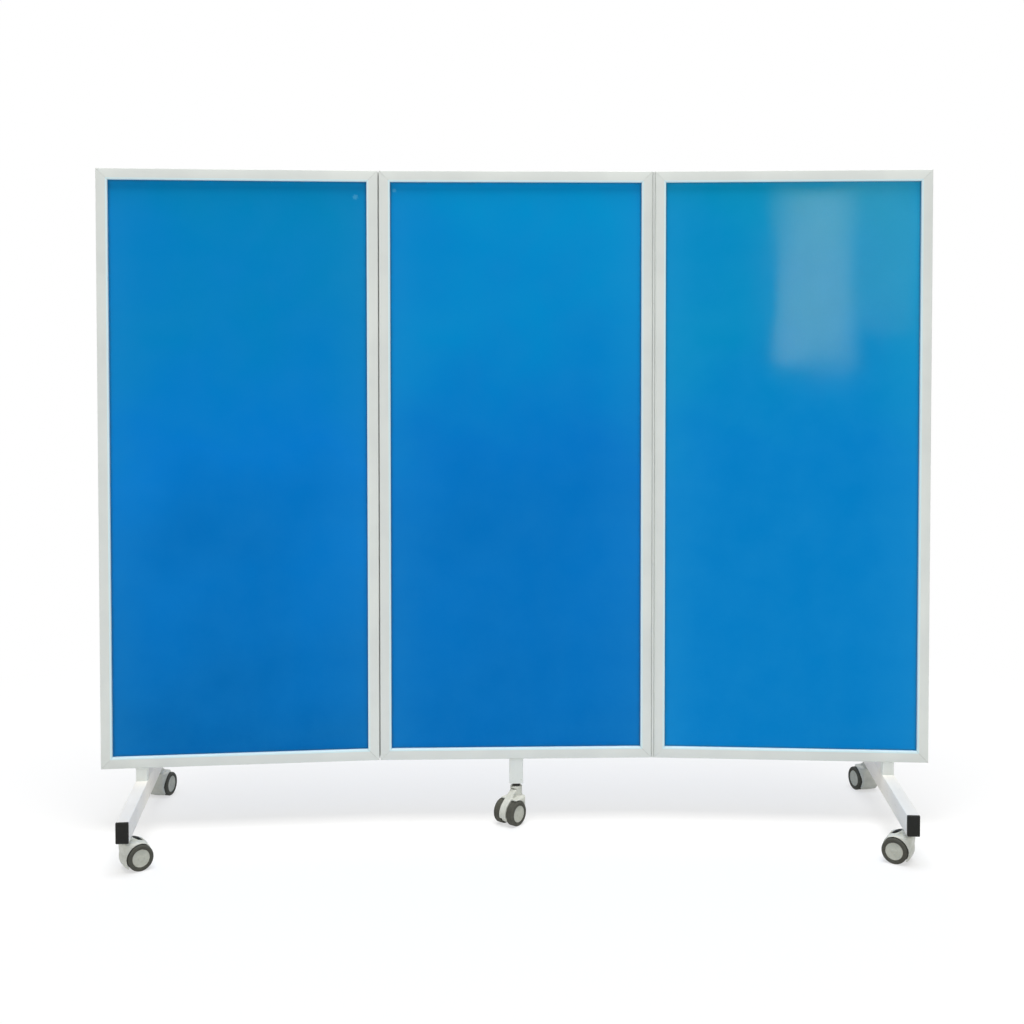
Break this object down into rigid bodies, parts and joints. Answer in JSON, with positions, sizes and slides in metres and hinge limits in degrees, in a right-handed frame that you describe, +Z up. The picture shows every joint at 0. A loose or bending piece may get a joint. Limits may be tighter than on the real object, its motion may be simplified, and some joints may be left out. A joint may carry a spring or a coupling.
{
  "type": "folding privacy screen on casters",
  "caption": "Folding ward privacy screen: framed blue panels joined by full-height hinges, the wings on foot bars with swivel casters and brake pedals, the middle on a leg with its own caster.",
  "frame": {"origin": "on the floor below the middle of the centre panel, at the frame's mid depth", "axes": "+X along the screen to the right as seen from the front, +Y to the back, +Z up"},
  "size_m": [2.0958, 0.627, 1.67],
  "materials": {
    "frame_paint": "satin off-white powder coat",
    "blue_sheet": "glossy blue sheet",
    "hinge_metal": "satin, coated with the frame",
    "pin_steel": "bright drawn steel",
    "black_plastic": "matt moulded black",
    "grey_plastic": "fine moulded texture, warm light grey",
    "wheel_rubber": "matt tread with a smooth hub disc",
    "pedal_plastic": "matt moulded black",
    "stem_steel": "zinc-plated steel"
  },
  "bodies": {
    "centre": {"centre_caster_stem": "stem_steel", "centre_leg": "frame_paint", "centre_leg_plug": "black_plastic", "centre_rail_bottom": "frame_paint", "centre_rail_top": "frame_paint", "centre_sheet": "blue_sheet", "centre_stile_left": "frame_paint", "centre_stile_right": "frame_paint", "left_hinge_leaf_fixed": "hinge_metal", "left_hinge_pin": "pin_steel", "right_hinge_leaf_fixed": "hinge_metal", "right_hinge_pin": "pin_steel"},
    "left_wing": {"left_back_caster_stem": "stem_steel", "left_foot_bar": "frame_paint", "left_front_caster_stem": "stem_steel", "left_hinge_leaf_moving": "hinge_metal", "left_plug_back": "black_plastic", "left_plug_front": "black_plastic", "left_post": "frame_paint", "left_rail_bottom": "frame_paint", "left_rail_top": "frame_paint", "left_sheet": "blue_sheet", "left_stile_inner": "frame_paint", "left_stile_outer": "frame_paint"},
    "right_wing": {"right_back_caster_stem": "stem_steel", "right_foot_bar": "frame_paint", "right_front_caster_stem": "stem_steel", "right_hinge_leaf_moving": "hinge_metal", "right_plug_back": "black_plastic", "right_plug_front": "black_plastic", "right_post": "frame_paint", "right_rail_bottom": "frame_paint", "right_rail_top": "frame_paint", "right_sheet": "blue_sheet", "right_stile_inner": "frame_paint", "right_stile_outer": "frame_paint"},
    "left_front_caster_swivel": {"left_front_caster_hood": "grey_plastic", "left_front_caster_axle": "stem_steel"},
    "left_front_caster_wheel_a": {"left_front_caster_wheel_a": "wheel_rubber"},
    "left_front_caster_wheel_b": {"left_front_caster_wheel_b": "wheel_rubber"},
    "left_front_caster_pedal": {"left_front_caster_pedal": "pedal_plastic"},
    "left_back_caster_swivel": {"left_back_caster_hood": "grey_plastic", "left_back_caster_axle": "stem_steel"},
    "left_back_caster_wheel_a": {"left_back_caster_wheel_a": "wheel_rubber"},
    "left_back_caster_wheel_b": {"left_back_caster_wheel_b": "wheel_rubber"},
    "right_front_caster_swivel": {"right_front_caster_hood": "grey_plastic", "right_front_caster_axle": "stem_steel"},
    "right_front_caster_wheel_a": {"right_front_caster_wheel_a": "wheel_rubber"},
    "right_front_caster_wheel_b": {"right_front_caster_wheel_b": "wheel_rubber"},
    "right_front_caster_pedal": {"right_front_caster_pedal": "pedal_plastic"},
    "right_back_caster_swivel": {"right_back_caster_hood": "grey_plastic", "right_back_caster_axle": "stem_steel"},
    "right_back_caster_wheel_a": {"right_back_caster_wheel_a": "wheel_rubber"},
    "right_back_caster_wheel_b": {"right_back_caster_wheel_b": "wheel_rubber"},
    "centre_caster_swivel": {"centre_caster_hood": "grey_plastic", "centre_caster_axle": "stem_steel"},
    "centre_caster_wheel_a": {"centre_caster_wheel_a": "wheel_rubber"},
    "centre_caster_wheel_b": {"centre_caster_wheel_b": "wheel_rubber"}
  },
  "joints": [
    {"name": "left_wing_fold", "type": "hinge", "parent": "centre", "child": "left_wing", "pos_m": [-0.3506, 0.0166, 0.9175], "axis": [0, 0, -1], "range_deg": [-2.7, 184.3]},
    {"name": "right_wing_fold", "type": "hinge", "parent": "centre", "child": "right_wing", "pos_m": [0.3506, -0.0166, 0.9175], "axis": [0, 0, -1], "range_deg": [-12.3, 174.7]},
    {"name": "left_front_caster_swivel", "type": "hinge", "parent": "left_wing", "child": "left_front_caster_swivel", "pos_m": [-0.92753, -0.29413, 0.078], "axis": [0, 0, 1], "continuous": true},
    {"name": "left_front_caster_wheel_a_spin", "type": "hinge", "parent": "left_front_caster_swivel", "child": "left_front_caster_wheel_a", "pos_m": [-0.8945, -0.29725, 0.031], "axis": [0.5446, -0.8387, 0], "continuous": true},
    {"name": "left_front_caster_wheel_b_spin", "type": "hinge", "parent": "left_front_caster_swivel", "child": "left_front_caster_wheel_b", "pos_m": [-0.91694, -0.2627, 0.031], "axis": [0.5446, -0.8387, 0], "continuous": true},
    {"name": "left_front_caster_brake", "type": "hinge", "parent": "left_front_caster_swivel", "child": "left_front_caster_pedal", "pos_m": [-0.91327, -0.28487, 0.07272], "axis": [-0.5446, 0.8387, 0], "range_deg": [0, 10]},
    {"name": "left_back_caster_swivel", "type": "hinge", "parent": "left_wing", "child": "left_back_caster_swivel", "pos_m": [-0.96501, 0.20446, 0.078], "axis": [0, 0, 1], "continuous": true},
    {"name": "left_back_caster_wheel_a_spin", "type": "hinge", "parent": "left_back_caster_swivel", "child": "left_back_caster_wheel_a", "pos_m": [-0.93839, 0.22424, 0.031], "axis": [0.9659, -0.2588, 0], "continuous": true},
    {"name": "left_back_caster_wheel_b_spin", "type": "hinge", "parent": "left_back_caster_swivel", "child": "left_back_caster_wheel_b", "pos_m": [-0.97818, 0.23491, 0.031], "axis": [0.9659, -0.2588, 0], "continuous": true},
    {"name": "right_front_caster_swivel", "type": "hinge", "parent": "right_wing", "child": "right_front_caster_swivel", "pos_m": [0.92508, -0.30429, 0.078], "axis": [0, 0, 1], "continuous": true},
    {"name": "right_front_caster_wheel_a_spin", "type": "hinge", "parent": "right_front_caster_swivel", "child": "right_front_caster_wheel_a", "pos_m": [0.91395, -0.27305, 0.031], "axis": [0.5299, 0.848, 0], "continuous": true},
    {"name": "right_front_caster_wheel_b_spin", "type": "hinge", "parent": "right_front_caster_swivel", "child": "right_front_caster_wheel_b", "pos_m": [0.89212, -0.30799, 0.031], "axis": [0.5299, 0.848, 0], "continuous": true},
    {"name": "right_front_caster_brake", "type": "hinge", "parent": "right_front_caster_swivel", "child": "right_front_caster_pedal", "pos_m": [0.91066, -0.29529, 0.07272], "axis": [-0.5299, -0.848, 0], "range_deg": [0, 10]},
    {"name": "right_back_caster_swivel", "type": "hinge", "parent": "right_wing", "child": "right_back_caster_swivel", "pos_m": [0.97127, 0.19357, 0.078], "axis": [0, 0, 1], "continuous": true},
    {"name": "right_back_caster_wheel_a_spin", "type": "hinge", "parent": "right_back_caster_swivel", "child": "right_back_caster_wheel_a", "pos_m": [0.98444, 0.22401, 0.031], "axis": [0.9659, 0.2588, 0], "continuous": true},
    {"name": "right_back_caster_wheel_b_spin", "type": "hinge", "parent": "right_back_caster_swivel", "child": "right_back_caster_wheel_b", "pos_m": [0.94464, 0.21335, 0.031], "axis": [0.9659, 0.2588, 0], "continuous": true},
    {"name": "centre_caster_swivel", "type": "hinge", "parent": "centre", "child": "centre_caster_swivel", "pos_m": [0, 0, 0.093], "axis": [0, 0, 1], "continuous": true},
    {"name": "centre_caster_wheel_a_spin", "type": "hinge", "parent": "centre_caster_swivel", "child": "centre_caster_wheel_a", "pos_m": [-0.03249, -0.00668, 0.031], "axis": [-0.766, 0.6428, 0], "continuous": true},
    {"name": "centre_caster_wheel_b_spin", "type": "hinge", "parent": "centre_caster_swivel", "child": "centre_caster_wheel_b", "pos_m": [-0.00093, -0.03316, 0.031], "axis": [-0.766, 0.6428, 0], "continuous": true}
  ]
}
